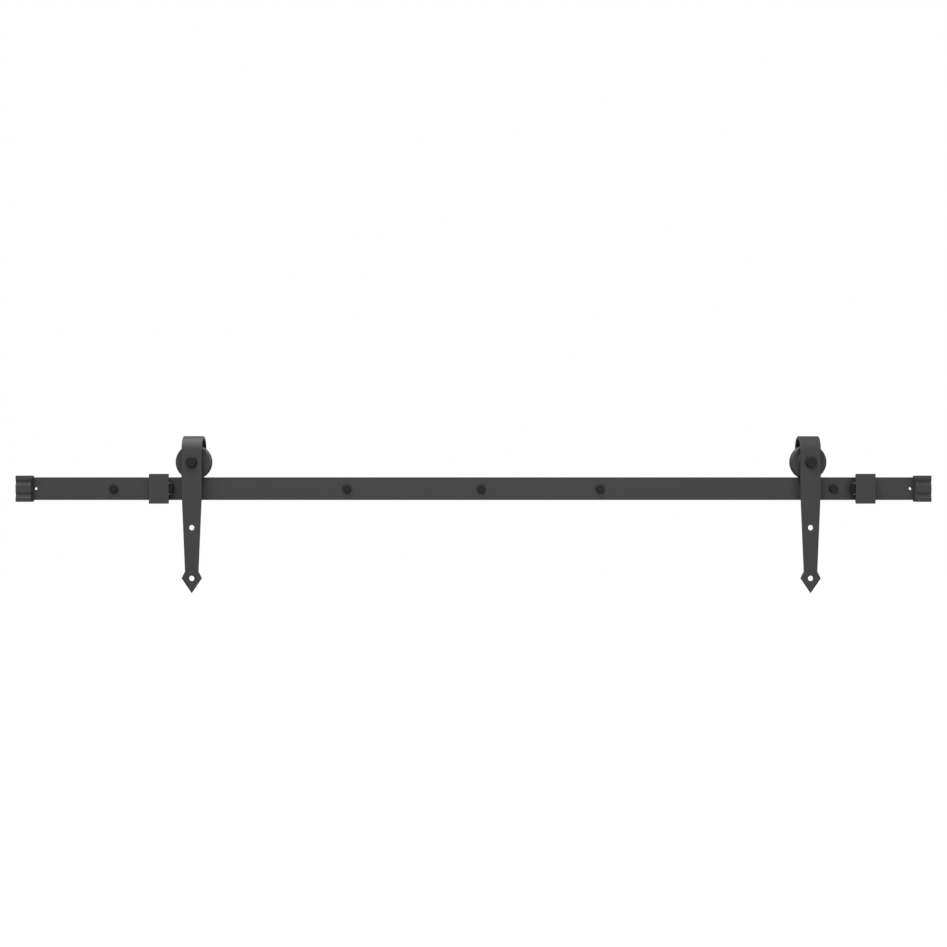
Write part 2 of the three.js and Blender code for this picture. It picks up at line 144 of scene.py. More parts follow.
BEARING_R = 11.0
AXLE_R = 3.9
BORE_R = 4.1
BORE_EDGE = 0.3
OUTER_RACE_BORE_R = 9.0
RACE_GROOVE_R = 2.1
RACE_EDGE = 0.5
RACE_LAND_EDGE = 0.2  # on the sides that face the balls
BALL_COUNT = 7
BALL_R = 1.95
BALL_PITCH_R = 7.5
BALL_GAP = 0.08
CAGE_RADII = (6.8, 8.2)
CAGE_WIDTH = 2.4
CAGE_EDGE = 0.2
SHIELD_BORE_R = 6.3
SHIELD_EDGE = 0.12
SLEEVE_EDGE = 0.4

AXLE_FLATS = 13.0
AXLE_HEAD = 5.3
AXLE_THREAD = 16.0
AXLE_TIP = 0.6  # the end chamfer
NUT_FLARE = 0.5
M8_PITCH = 1.25
M8_THREAD_DEPTH = 0.6

HEX_FACE = 0.94  # the radius of a head's round face, over half its width across flats
HEX_CORNER = 0.985  # an eased corner, over a sharp one
HEX_EASE = 0.18  # the width of the small bevels on a head
HEX_CHAMFER = math.radians(30)
THREAD_GAP = 0.2  # between a plain shank and its thread

TURN_FINE = 128  # points round a large turned part
TURN = 72  # points round a small one
SCREW_TURN = 60
HOLE_TURN = 40
END_HOLE_TURN = 32
STRAP_HOLE_TURN = 48
BALL_TURN = 32
THREAD_ROWS = 8  # rings in one pitch
BEND_SLICES = 40
BEND_SNAP = 1e-5  # a point this near a slice is taken as on it
RACE_GROOVE_STEPS = 10
EDGE_STEPS = 3
CORNER_OVER_EDGE = 1.05  # a corner's radius over its edge's, so that the inner ring doesn't fold
WELD = 0.001  # points closer than this are merged after a boolean
SHARP_ANGLE = math.radians(42)


# ---- Outlines --------------------------------------------------------------------------------

def circle(radius, count, centre=(0.0, 0.0)):
    """Points round a circle, anticlockwise."""
    turn = 2 * math.pi / count
    return [
        (centre[0] + radius * math.cos(i * turn), centre[1] + radius * math.sin(i * turn))
        for i in range(count)
    ]


def rounded(corners, radius, steps=EDGE_STEPS):
    """A closed outline with each corner eased to a radius, or to its own: (a, b, radius)."""
    points = []
    for i, corner in enumerate(corners):
        here = Vector(corner[:2])
        own = corner[2] if len(corner) > 2 else radius
        before = (Vector(corners[i - 1][:2]) - here).normalized()
        after = (Vector(corners[(i + 1) % len(corners)][:2]) - here).normalized()
        half = before.angle(after) / 2
        nearly_straight = half > math.radians(89)
        if own <= 0 or nearly_straight:
            points.append(tuple(here))
            continue
        centre = here + (before + after).normalized() * own / math.sin(half)
        start = here + before * own / math.tan(half) - centre
        sweep = math.pi - 2 * half
        side = 1 if start.cross(here + after * own / math.tan(half) - centre) > 0 else -1
        for k in range(steps + 1):
            a = side * sweep * k / steps
            turned = Vector((
                start.x * math.cos(a) - start.y * math.sin(a),
                start.x * math.sin(a) + start.y * math.cos(a),
            ))
            points.append(tuple(centre + turned))
    return points


def rectangle(a, b):
    """Corners of a rectangle between two ranges, anticlockwise."""
    return [(a[0], b[0]), (a[1], b[0]), (a[1], b[1]), (a[0], b[1])]


def inset(points, amount):
    """An anticlockwise outline moved inward by an amount, or outward by a negative one."""
    moved = []
    for i, point in enumerate(points):
        here = Vector(point)
        first = (here - Vector(points[i - 1])).normalized()
        second = (Vector(points[(i + 1) % len(points)]) - here).normalized()
        first_normal = Vector((-first.y, first.x))
        second_normal = Vector((-second.y, second.x))
        mitre = (first_normal + second_normal).normalized()
        moved.append(tuple(here + mitre * amount / mitre.dot(first_normal)))
    return moved


def quarter(edge):
    """(inward, along) offsets round a rounded edge, from the flat face to the side."""
    turns = [math.pi / 2 * k / EDGE_STEPS for k in range(EDGE_STEPS + 1)]
    return [(edge * (1 - math.sin(a)), edge * (1 - math.cos(a))) for a in turns]


# ---- Solids ----------------------------------------------------------------------------------

class Solid:
    """A closed mesh built from rings of points."""

    def __init__(self):
        self.bm = bmesh.new()

    def ring(self, points):
        return [self.bm.verts.new(point) for point in points]

    def bridge(self, rings):
        for low, high in zip(rings, rings[1:]):
            for i in range(len(low)):
                j = (i + 1) % len(low)
                self.bm.faces.new((low[i], low[j], high[j], high[i]))

    def fan(self, ring, point):
        tip = self.bm.verts.new(point)
        for i in range(len(ring)):
            self.bm.faces.new((ring[i], ring[(i + 1) % len(ring)], tip))

    def fill(self, *rings):
        edges = [
            self.bm.edges.get((ring[i], ring[(i + 1) % len(ring)])) or
            self.bm.edges.new((ring[i], ring[(i + 1) % len(ring)]))
            for ring in rings
            for i in range(len(ring))
        ]
        bmesh.ops.triangle_fill(self.bm, use_beauty=True, use_dissolve=False, edges=edges)

    def add(self, other):
        """Takes another solid's separate body in."""
        mesh = other.mesh("part")
        self.bm.from_mesh(mesh)
        bpy.data.meshes.remove(mesh)
        return self

    def mapped(self, place):
        """Every point sent through a function of its three coordinates."""
        for vertex in self.bm.verts:
            vertex.co = place(*vertex.co)
        return self

    def mesh(self, name):
        bmesh.ops.recalc_face_normals(self.bm, faces=self.bm.faces)
        if self.bm.calc_volume(signed=True) < 0:
            bmesh.ops.reverse_faces(self.bm, faces=self.bm.faces)
        for face in self.bm.faces:
            face.smooth = True
        mesh = bpy.data.meshes.new(name)
        self.bm.to_mesh(mesh)
        return mesh


def along_x(low):
    """Puts a plate's (a, b, depth) at Y, Z and X."""
    return lambda a, b, depth: (low + depth, a, b)


def along_y(low):
    """Puts a plate's (a, b, depth) at X, Z and Y."""
    return lambda a, b, depth: (a, low + depth, b)


def plate(outer, holes, thickness, edge):
    """A flat plate with rounded edges, also round its holes, as (a, b, depth) from depth 0."""
    body = Solid()
    offsets = quarter(edge)
    levels = offsets + [(inward, thickness - along) for inward, along in reversed(offsets)]
    lows, highs = [], []
    for outline, inward_sign in [(outer, 1)] + [(hole, -1) for hole in holes]:
        rings = [
            body.ring([(a, b, depth) for a, b in inset(outline, inward_sign * inward)])
            for inward, depth in levels
        ]
        body.bridge(rings)
        lows.append(rings[0])
        highs.append(rings[-1])
    body.fill(*lows)
    body.fill(*highs)
    return body


def turned(profile, count=TURN):
    """A closed profile of (radius, y) points turned about the Y axis."""
    body = Solid()
    rings = [
        body.ring([(a, y, b) for a, b in circle(radius, count)])
        for radius, y in profile
    ]
    body.bridge(rings + rings[:1])
    return body


def tube(inner, outer, length, edge, count=TURN):
    """A turned tube with rounded edges, from y = 0."""
    return turned(rounded(rectangle((inner, outer), (0, length)), edge, steps=2), count)


def box(x, y, z, edge):
    """A block with every edge rounded."""
    outline = rounded(rectangle(x, y), edge * CORNER_OVER_EDGE)
    height = z[1] - z[0]
    return plate(outline, [], height, edge).mapped(lambda a, b, depth: (a, b, z[0] + depth))


def combined(body, tool, operation):
    """Two solids joined (UNION) or one cut by the other (DIFFERENCE)."""
    holders = []
    for part in (body, tool):
        holder = bpy.data.objects.new("holder", part.mesh("holder"))
        bpy.context.scene.collection.objects.link(holder)
        holders.append(holder)
    modifier = holders[0].modifiers.new("combine", "BOOLEAN")
    modifier.object = holders[1]
    modifier.operation = operation
    modifier.solver = "EXACT"
    graph = bpy.context.evaluated_depsgraph_get()
    mesh = bpy.data.meshes.new_from_object(holders[0].evaluated_get(graph))
    result = Solid()
    result.bm.from_mesh(mesh)
    bmesh.ops.remove_doubles(result.bm, verts=result.bm.verts, dist=WELD)
    bmesh.ops.dissolve_degenerate(result.bm, edges=result.bm.edges, dist=WELD)
    bpy.data.meshes.remove(mesh)
    for holder in holders:
        data = holder.data
        bpy.data.objects.remove(holder)
        bpy.data.meshes.remove(data)
    return result


# ---- Threads and hexagons --------------------------------------------------------------------

def hexagon(flats, count):
    """A hexagon's outline with eased corners, as (radius, angle) at evenly spaced angles."""
    apothem = flats / 2
    corner = apothem / math.cos(math.pi / 6)
    eased = corner * HEX_CORNER
    points = []
    for i in range(count):
        angle = 2 * math.pi * i / count
        off = (angle + math.pi / 6) % (math.pi / 3) - math.pi / 6
        points.append((min(apothem / math.cos(off), eased), angle + math.pi / 6))
    return points


def polar_ring(body, points, y):
    return body.ring([(r * math.cos(a), y, r * math.sin(a)) for r, a in points])


def hex_rings(body, flats, low, high, count, both_ends=False):
    """Rings up a hexagon's sides from y = low to the chamfered end at y = high."""
    outline = hexagon(flats, count)
    face_r = flats / 2 * HEX_FACE
    slope = math.tan(HEX_CHAMFER)
    drop = [(radius - face_r) * slope for radius, _ in outline]
    sign = 1 if high > low else -1

    def end(level, way):
        shoulder = [
            (r * math.cos(a), level - way * (d + HEX_EASE), r * math.sin(a))
            for (r, a), d in zip(outline, drop)
        ]
        bevel = [
            (
                (r - HEX_EASE) * math.cos(a),
                level - way * (d - HEX_EASE * slope),
                (r - HEX_EASE) * math.sin(a),
            )
            for (r, a), d in zip(outline, drop)
        ]
        return [body.ring(shoulder), body.ring(bevel)] + [
            polar_ring(body, [(radius, a) for _, a in outline], level)
            for radius in (face_r, face_r - HEX_EASE)
        ]

    if both_ends:
        start = list(reversed(end(low, -sign)))
    else:
        edge = [(r - HEX_EASE, a) for r, a in outline]
        start = [polar_ring(body, edge, low), polar_ring(body, outline, low + sign * HEX_EASE)]
    return start + end(high, sign)


def thread_rings(body, radius, depth, pitch, y, count, taper=None):
    """Rings along a V thread between two y values.

    The thread deepens over its first pitch. It fades out over its last, or narrows to a point
    over the taper's length.
    """
    start, end = y
    rows = max(2, round(abs(end - start) / pitch * THREAD_ROWS))
    point = 0.08  # the radius left at a taper's end, over the full one
    deepest = 0.6  # the deepest cut near a taper's point, over the radius there
    clipped = 0.125  # the V is stretched this far past each crest and root, then cut flat
    rings = []
    for k in range(rows + 1):
        here = start + (end - start) * k / rows
        travelled = abs(here - start)
        left = abs(end - here)
        outer = radius
        strength = min(1.0, travelled / pitch)
        if taper is None:
            strength = min(strength, left / pitch)
        else:
            outer *= min(1.0, point + (1 - point) * left / taper)
        points = []
        for i in range(count):
            phase = (here / pitch - i / count) % 1.0
            cut = 1.0 - abs(2.0 * phase - 1.0)
            cut = min(1.0, max(0.0, (1 + 2 * clipped) * cut - clipped))
            local = outer - min(depth, outer * deepest) * strength * cut
            points.append((local, 2 * math.pi * i / count + math.pi / 6))
        rings.append(polar_ring(body, points, here))
    return rings


def round_ring(body, radius, y, count):
    """A ring whose points are in line with a hexagon's or a thread's."""
    return polar_ring(
        body, [(radius, 2 * math.pi * i / count + math.pi / 6) for i in range(count)], y
    )


# ---- Materials -------------------------------------------------------------------------------
# Base colours are linear greys. Noise scales are per metre; worn edges and painted shade's reach
# are in mm.

def linked(tree, kind, inputs=None, **settings):
    """A shader node with its settings made and its inputs set to values or joined to sockets."""
    node = tree.nodes.new("ShaderNode" + kind)
    for key, value in settings.items():
        setattr(node, key, value)
    for key, value in (inputs or {}).items():
        if isinstance(value, bpy.types.NodeSocket):
            tree.links.new(value, node.inputs[key])
        else:
            node.inputs[key].default_value = value
    return node


def noise_at(tree, scale, detail=2.0, roughness=0.5):
    place = linked(tree, "TexCoord").outputs["Object"]
    inputs = {"Vector": place, "Scale": scale, "Detail": detail, "Roughness": roughness}
    return linked(tree, "TexNoise", inputs).outputs["Fac"]


def mapped_range(tree, value, source, target):
    inputs = {"Value": value, "From Min": source[0], "From Max": source[1],
              "To Min": target[0], "To Max": target[1]}
    return linked(tree, "MapRange", inputs).outputs["Result"]


def product(tree, first, second):
    return linked(tree, "Math", {0: first, 1: second}, operation="MULTIPLY").outputs[0]


def mixed_colour(tree, factor, first, second):
    node = linked(tree, "Mix", data_type="RGBA")
    for index, value in ((0, factor), (6, first), (7, second)):
        if isinstance(value, bpy.types.NodeSocket):
            tree.links.new(value, node.inputs[index])
        else:
            node.inputs[index].default_value = value
    return node.outputs[2]


def grey(level, warm=0.0):
    return (level * (1 + warm), level, level * (1 - warm), 1.0)


def worn_edges(tree, radius):
    """1 along edges and 0 on flat faces: how far a rounded normal leans from the true one."""
    soft = linked(tree, "Bevel", {"Radius": radius * MM}, samples=4).outputs["Normal"]
    true = linked(tree, "NewGeometry").outputs["Normal"]
    inputs = {0: soft, 1: true}
    facing = linked(tree, "VectorMath", inputs, operation="DOT_PRODUCT").outputs["Value"]
    return mapped_range(tree, facing, (0.995, 0.85), (0.0, 1.0))


def shaded(tree, colour, reach, deepest):
    """A colour darkened where the surface is shut in, within a reach in millimetres: painted shade
    from ambient occlusion.
    """
    inputs = {"Distance": reach * MM}
    open_air = linked(tree, "AmbientOcclusion", inputs, samples=8).outputs["AO"]
    level = mapped_range(tree, open_air, (0.2, 0.8), (deepest, 1.0))
    shade = linked(tree, "CombineColor", {0: level, 1: level, 2: level}).outputs[0]
    node = linked(tree, "Mix", data_type="RGBA", blend_type="MULTIPLY")
    node.inputs[0].default_value = 1.0
    tree.links.new(colour, node.inputs[6])
    tree.links.new(shade, node.inputs[7])
    return node.outputs[2]


def bumped(tree, layers):
    """Bump from (height, strength, depth in mm) layers."""
    normal = None
    for height, strength, depth in layers:
        inputs = {"Height": height, "Strength": strength, "Distance": depth * MM}
        if normal is not None:
            inputs["Normal"] = normal
        normal = linked(tree, "Bump", inputs).outputs["Normal"]
    return normal


def surface(name):
    """A new material's tree, emptied but for its shader and output."""
    material = bpy.data.materials.new(name)
    material.use_nodes = True
    tree = material.node_tree
    tree.nodes.clear()
    shader = linked(tree, "BsdfPrincipled")
    output = linked(tree, "OutputMaterial")
    tree.links.new(shader.outputs["BSDF"], output.inputs["Surface"])
    return material, tree, shader


def join_inputs(tree, shader, **values):
    """Sets a shader's inputs, or joins them to sockets. An underscore stands for a space."""
    for key, value in values.items():
        socket = shader.inputs[key.replace("_", " ")]
        if isinstance(value, bpy.types.NodeSocket):
            tree.links.new(value, socket)
        else:
            socket.default_value = value


def powder_coat():
    """Dark grey powder coat: a fine sandy grain over orange peel, paler where edges rub, with
    painted shade in crevices and close to other parts.
    """
    material, tree, shader = surface("powder_coat")
    cloud = noise_at(tree, 22, 3)
    grain = noise_at(tree, 2600, 2, 0.6)
    peel = noise_at(tree, 640, 1)
    base = mixed_colour(tree, cloud, grey(0.036), grey(0.044))
    speckle = mapped_range(tree, grain, (0.62, 0.78), (0.0, 0.5))
    flecked = mixed_colour(tree, speckle, base, grey(0.07))
    patches = mapped_range(tree, peel, (0.3, 0.7), (0.1, 0.55))
    rub = product(tree, worn_edges(tree, 0.7), patches)
    # painted shade: the colour is darkened wherever other surfaces within 12 mm shut it in, as
    # inside the loops and beside the straps
    colour = shaded(tree, mixed_colour(tree, rub, flecked, grey(0.085)), 12, 0.15)
    rough = mapped_range(tree, cloud, (0.3, 0.7), (0.5, 0.6))
    normal = bumped(tree, [(peel, 0.25, 0.04), (grain, 0.45, 0.03)])
    join_inputs(
        tree, shader, Base_Color=colour, Roughness=rough, Normal=normal, Specular_IOR_Level=0.4,
    )
    return material


def black_oxide():
    """Black oxide steel: nearly black, a little oily, brightening on its edges, with painted shade
    where other parts close it in.
    """
    material, tree, shader = surface("black_oxide")
    mottle = noise_at(tree, 260, 4)
    grain = noise_at(tree, 3000, 2)
    base = mixed_colour(tree, mottle, grey(0.009, -0.03), grey(0.015, -0.02))
    rub = product(tree, worn_edges(tree, 0.35), 0.6)
    # painted shade: the colour is darkened wherever other surfaces within 6 mm shut it in
    colour = shaded(tree, mixed_colour(tree, rub, base, grey(0.04)), 6, 0.2)
    rough = mapped_range(tree, mottle, (0.3, 0.7), (0.42, 0.58))
    normal = bumped(tree, [(mottle, 0.1, 0.03), (grain, 0.2, 0.01)])
    join_inputs(
        tree, shader, Base_Color=colour, Metallic=0.2, Roughness=rough, Normal=normal,
        Specular_IOR_Level=0.3,
    )
    return material


def bearing_steel():
    """Ground steel with a fine, uneven polish."""
    material, tree, shader = surface("bearing_steel")
    mottle = noise_at(tree, 500, 3)
    scratch = noise_at(tree, 5200, 1)
    colour = mixed_colour(tree, mottle, grey(0.52), grey(0.62))
    rough = mapped_range(tree, scratch, (0.3, 0.7), (0.2, 0.32))
    normal = bumped(tree, [(scratch, 0.12, 0.008)])
    join_inputs(tree, shader, Base_Color=colour, Metallic=1.0, Roughness=rough, Normal=normal)
    return material


def cage_nylon():
    """Warm grey nylon, slightly translucent."""
    material, tree, shader = surface("cage_nylon")
    mottle = noise_at(tree, 900, 2)
    colour = mixed_colour(tree, mottle, grey(0.46, 0.1), grey(0.56, 0.1))
    normal = bumped(tree, [(mottle, 0.2, 0.01)])
    join_inputs(
        tree, shader, Base_Color=colour, Roughness=0.55, Normal=normal, Subsurface_Weight=0.1,
    )
    return material


def bumper_rubber():
    """Matt black rubber with a faint grain and a bloom of dust."""
    material, tree, shader = surface("bumper_rubber")
    grain = noise_at(tree, 1800, 3)
    bloom = noise_at(tree, 150, 3)
    colour = mixed_colour(tree, bloom, grey(0.006), grey(0.012))
    rough = mapped_range(tree, bloom, (0.3, 0.7), (0.75, 0.9))
    normal = bumped(tree, [(grain, 0.4, 0.03)])
    join_inputs(
        tree, shader, Base_Color=colour, Roughness=rough, Normal=normal, Specular_IOR_Level=0.25,
    )
    return material


def cap_plastic():
    """Dark grey moulded plastic with a spark-eroded mould texture."""
    material, tree, shader = surface("cap_plastic")
    texture = noise_at(tree, 1700, 3, 0.6)
    cloud = noise_at(tree, 60, 2)
    base = mixed_colour(tree, cloud, grey(0.038), grey(0.045))
    rub = product(tree, worn_edges(tree, 0.5), 0.3)
    colour = mixed_colour(tree, rub, base, grey(0.08))
    rough = mapped_range(tree, texture, (0.3, 0.7), (0.55, 0.68))
    normal = bumped(tree, [(texture, 0.4, 0.03)])
    join_inputs(
        tree, shader, Base_Color=colour, Roughness=rough, Normal=normal, Specular_IOR_Level=0.4,
    )
    return material


MATERIALS = {
    make.__name__: make()
    for make in (powder_coat, black_oxide, bearing_steel, cage_nylon, bumper_rubber, cap_plastic)
}
NODE_SLOT = {row["node"]: row["material_slot"] for row in frame["record"]["subparts"]}
NODE_BODY = {
    node: body
    for body, nodes in frame["record"]["behaviour"]["bodies"].items()
    for node in nodes
}


# ---- Placing ---------------------------------------------------------------------------------

def corners(node):
    """A node's lowest and highest corners, in millimetres."""
    low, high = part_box(node)
    return low / MM, high / MM


def middle(node):
    low, high = corners(node)
    return (low + high) / 2


def show(node, body, at=(0.0, 0.0, 0.0)):
    """Makes a solid the visible form of a node, with its origin at a place in millimetres."""
    slot = NODE_SLOT[node]
    body.mapped(lambda x, y, z: ((x + at[0]) * MM, (y + at[1]) * MM, (z + at[2]) * MM))
    mesh = body.mesh(node)
    mesh.materials.append(MATERIALS[slot])
    mesh.set_sharp_from_angle(angle=SHARP_ANGLE)
    piece = bpy.data.objects.new(node + "_visual", mesh)
    bpy.context.scene.collection.objects.link(piece)
    even = piece.modifiers.new("even_normals", "WEIGHTED_NORMAL")
    even.keep_sharp = True
    even.weight = 100  # the larger faces decide
    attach(piece, NODE_BODY[node])
    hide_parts(node)


# ---- Rail and its fixings --------------------------------------------------------------------

def rail_bar():
    low, high = corners("rail_bar")
    outline = rounded(rectangle((low.x, high.x), (low.z, high.z)), RAIL_EDGE * CORNER_OVER_EDGE)
    holes = [
        circle(FIXING_HOLE_R, HOLE_TURN, (middle(f"stand_off_{i}").x, 0.0))
        for i in FIXINGS
    ]
    end_x = (low.x + END_HOLE_INSET["left"], high.x - END_HOLE_INSET["right"])
    holes += [circle(END_HOLE_R, END_HOLE_TURN, (x, 0.0)) for x in end_x]
    return plate(outline, holes, high.y - low.y, RAIL_EDGE).mapped(along_y(low.y))


def stand_off(node):
    low, high = corners(node)
    radius = (high.x - low.x) / 2
    return tube(FIXING_HOLE_R, radius, high.y - low.y, STAND_OFF_EDGE, TURN_FINE)


def lag_screw(node):
    """A hexagon head, a plain shank, a coarse wood thread and a gimlet point."""
    low, high = corners(node)
    length = high.y - low.y
    body = Solid()
    head = hex_rings(body, LAG_FLATS, LAG_HEAD, 0.0, SCREW_TURN)
    head.reverse()
    body.fill(head[0])
    plain_end = LAG_HEAD + LAG_PLAIN
    shank = [round_ring(body, LAG_SHANK_R, y, SCREW_TURN) for y in (LAG_HEAD, plain_end)]
    thread = thread_rings(
        body, LAG_SHANK_R, LAG_THREAD_DEPTH, LAG_PITCH,
        (plain_end + THREAD_GAP, length - THREAD_GAP), SCREW_TURN, taper=LAG_POINT,
    )
    body.bridge(head + shank + thread)
    body.fan(thread[-1], (0.0, length, 0.0))
    return body


def track():
    show("rail_bar", rail_bar())
    for i in FIXINGS:
        for node, body in ((f"stand_off_{i}", stand_off), (f"lag_screw_{i}", lag_screw)):
            low, _ = corners(node)
            show(node, body(node), (middle(node).x, low.y, middle(node).z))
    for side, inward in SIDES.items():
        show(f"{side}_end_cap", end_cap(side, inward))


# ---- End caps --------------------------------------------------------------------------------

def end_cap(side, inward):
    """A moulded block, two V grooves along its face, with a blind slot for the rail."""
    low, high = corners(f"{side}_end_cap")
    rail_low, rail_high = corners("rail_bar")
    mouth = CAP_GROOVE_MOUTH / 2
    grooves = []
    for z in (CAP_GROOVE_Z, -CAP_GROOVE_Z):
        grooves += [
            (low.y, z + mouth, CAP_EDGE * CORNER_OVER_EDGE),
            (low.y + CAP_GROOVE_DEPTH, z, CAP_GROOVE_R),
            (low.y, z - mouth, CAP_EDGE * CORNER_OVER_EDGE),
        ]
    profile = rounded(rectangle((low.y, high.y), (low.z, high.z)) + grooves, CAP_CORNER_R)
    block = plate(profile, [], high.x - low.x, CAP_EDGE).mapped(along_x(low.x))
    y = (rail_low.y - SLOT_GAP, rail_high.y + SLOT_GAP)
    z = (rail_low.z - SLOT_GAP, rail_high.z + SLOT_GAP)
    past = 1  # the cutter runs out of the cap's open end
    x = (low.x + CAP_WALL, high.x + past) if inward > 0 else (low.x - past, high.x - CAP_WALL)
    return combined(block, box(x, y, z, SLOT_EDGE), "DIFFERENCE")


# ---- Stoppers --------------------------------------------------------------------------------

def stopper_block(side, inward):
    """A thin face plate on a clamp that wraps the rail, and a nose with two lips for the bumper."""
    low, high = corners(f"{side}_stopper_block")
    _, bumper_high = corners(f"{side}_stopper_bumper")
    rail_low, rail_high = corners("rail_bar")
    outer = low.x if inward > 0 else high.x

    def along(start, end):
        return sorted((outer + inward * start, outer + inward * end))

    clamp_end = CLAMP_INSET + CLAMP_LENGTH
    clamp_top = CLAMP_HEIGHT / 2
    nose_top = LIP_Z + LIP_HEIGHT / 2 - NOSE_INSET
    lip_rear = bumper_high.y + BUMPER_MARGIN
    in_face = low.y + FACE_THICKNESS / 2
    face = box(along(0, FACE_LENGTH), (low.y, low.y + FACE_THICKNESS), (low.z, high.z), FACE_EDGE)
    outline = rounded(rectangle((in_face, high.y), (-clamp_top, clamp_top)), CLAMP_CORNER_R)
    slot = rounded(
        rectangle(
            (rail_low.y - SLOT_GAP, rail_high.y + SLOT_GAP),
            (rail_low.z - SLOT_GAP, rail_high.z + SLOT_GAP),
        ),
        CLAMP_SLOT_R,
    )
    clamp_x = along(CLAMP_INSET, clamp_end)
    clamp = plate(outline, [slot], CLAMP_LENGTH, CLAMP_EDGE).mapped(along_x(clamp_x[0]))
    nose_x = along(clamp_end - NOSE_ROOT, FACE_LENGTH - NOSE_INSET)
    nose = box(nose_x, (in_face, lip_rear - NOSE_INSET), (-nose_top, nose_top), NOSE_EDGE)
    block = combined(combined(face, clamp, "UNION"), nose, "UNION")
    for z in (-LIP_Z, LIP_Z):
        lip_z = (z - LIP_HEIGHT / 2, z + LIP_HEIGHT / 2)
        lip_x = along(FACE_LENGTH - LIP_ROOT, FACE_LENGTH + LIP_REACH)
        lip = box(lip_x, (low.y + LIP_SET_BACK, lip_rear), lip_z, LIP_EDGE)
        block = combined(block, lip, "UNION")
    for place in ("inner", "outer"):
        screw = middle(f"{side}_stopper_set_screw_{place}")
        cutter = hole_cutter(SET_SCREW_HOLE_R, -clamp_top, rail_low.z - SLOT_GAP / 2)
        cutter.mapped(lambda x, y, z: (x + screw.x, y + screw.y, z))
        block = combined(block, cutter, "DIFFERENCE")
    return block


def hole_cutter(radius, mouth_z, end_z):
    """A rod along Z with a flared end, to cut a hole with a chamfered mouth."""
    flare = SET_SCREW_HOLE_FLARE
    past = 1.0  # the cone runs this far out of the mouth
    levels = [
        (radius + flare + past, mouth_z - past), (radius, mouth_z + flare), (radius, end_z),
    ]
    body = Solid()
    rings = [body.ring([(a, b, z) for a, b in circle(r, HOLE_TURN)]) for r, z in levels]
    body.bridge(rings)
    body.fill(rings[0])
    body.fill(rings[-1])
    return body


def stopper_bumper(side):
    """A rubber pad with well-rounded edges."""
    low, high = corners(f"{side}_stopper_bumper")
    return box((low.x, high.x), (low.y, high.y), (low.z, high.z), BUMPER_EDGE)


def set_screw(node):
    """A threaded grub screw with a hexagon socket, from its socket end up."""
    low, high = corners(node)
    length = high.z - low.z
    radius = (high.x - low.x) / 2
    count = SCREW_TURN
    body = Solid()
    socket = hexagon(SET_SCREW_SOCKET_FLATS, count)
    flared = [(r + SET_SCREW_SOCKET_FLARE, a) for r, a in socket]
    floor = polar_ring(body, socket, SET_SCREW_SOCKET_DEPTH)
    mouth = polar_ring(body, socket, SET_SCREW_SOCKET_FLARE)
    rim = polar_ring(body, flared, 0.0)
    edge = round_ring(body, radius - SET_SCREW_RIM, 0.0, count)
    run_in, run_out = SET_SCREW_THREAD_INSET
    thread = thread_rings(
        body, radius, M4_THREAD_DEPTH, M4_PITCH, (run_in, length - run_out), count,
    )
    end = round_ring(body, radius - SET_SCREW_TIP, length, count)
    body.fan(floor, (0.0, SET_SCREW_SOCKET_DEPTH + SET_SCREW_SOCKET_POINT, 0.0))
    body.bridge([floor, mouth, rim, edge] + thread + [end])
    body.fill(end)
    return body.mapped(lambda x, y, z: (x, -z, y))


def stopper(side, inward):
    show(f"{side}_stopper_block", stopper_block(side, inward))
    show(f"{side}_stopper_bumper", stopper_bumper(side))
    for place in ("inner", "outer"):
        node = f"{side}_stopper_set_screw_{place}"
        low, _ = corners(node)
        show(node, set_screw(node), (middle(node).x, middle(node).y, low.z))


# ---- Hangers ---------------------------------------------------------------------------------

def hanger_strap(side):
    """A flat blank with its holes, cut across where it bends, then bent round the wheel."""
    low, high = corners(f"{side}_hanger_strap")
    axle = middle(f"{side}_wheel")
    half = (high.x - low.x) / 2
    mid_r = (high.y - low.y) / 2 - STRAP_THICKNESS / 2
    bend_start = axle.z + LOOP_CENTRE_ABOVE_AXLE - low.z
    bend_length = math.pi * mid_r
    bend_end = bend_start + bend_length
    back_leg = LOOP_CENTRE_ABOVE_AXLE + BACK_LEG_BELOW_AXLE
    axle_up = axle.z - low.z
    holes = [
        circle(radius, STRAP_HOLE_TURN, (0.0, up))
        for radius, up in (
            (BORE_R, axle_up),
            (BORE_R, bend_end + LOOP_CENTRE_ABOVE_AXLE),
            (DOOR_HOLE_R, LOWER_HOLE_ABOVE_TIP),
            (DOOR_HOLE_R, LOWER_HOLE_ABOVE_TIP + DOOR_HOLE_SPACING),
        )
    ]
    body = plate(strap_blank(half, bend_end + back_leg), holes, STRAP_THICKNESS, STRAP_EDGE)
    for k in range(BEND_SLICES + 1):
        cut = bend_start + bend_length * k / BEND_SLICES
        bmesh.ops.bisect_plane(
            body.bm, geom=body.bm.verts[:] + body.bm.edges[:] + body.bm.faces[:],
            plane_co=(0, cut, 0), plane_no=(0, 1, 0), dist=BEND_SNAP,
        )
    centre_y = (low.y + high.y) / 2
    centre_z = low.z + bend_start

    def bent(a, b, depth):
        if b <= bend_start:
            return (axle.x + a, low.y + depth, low.z + b)
        if b >= bend_end:
            return (axle.x + a, high.y - depth, centre_z - (b - bend_end))
        turn = (b - bend_start) / bend_length * math.pi
        radius = mid_r + STRAP_THICKNESS / 2 - depth
        return (
            axle.x + a,
            centre_y - radius * math.cos(turn),
            centre_z + radius * math.sin(turn),
        )

    return body.mapped(bent)


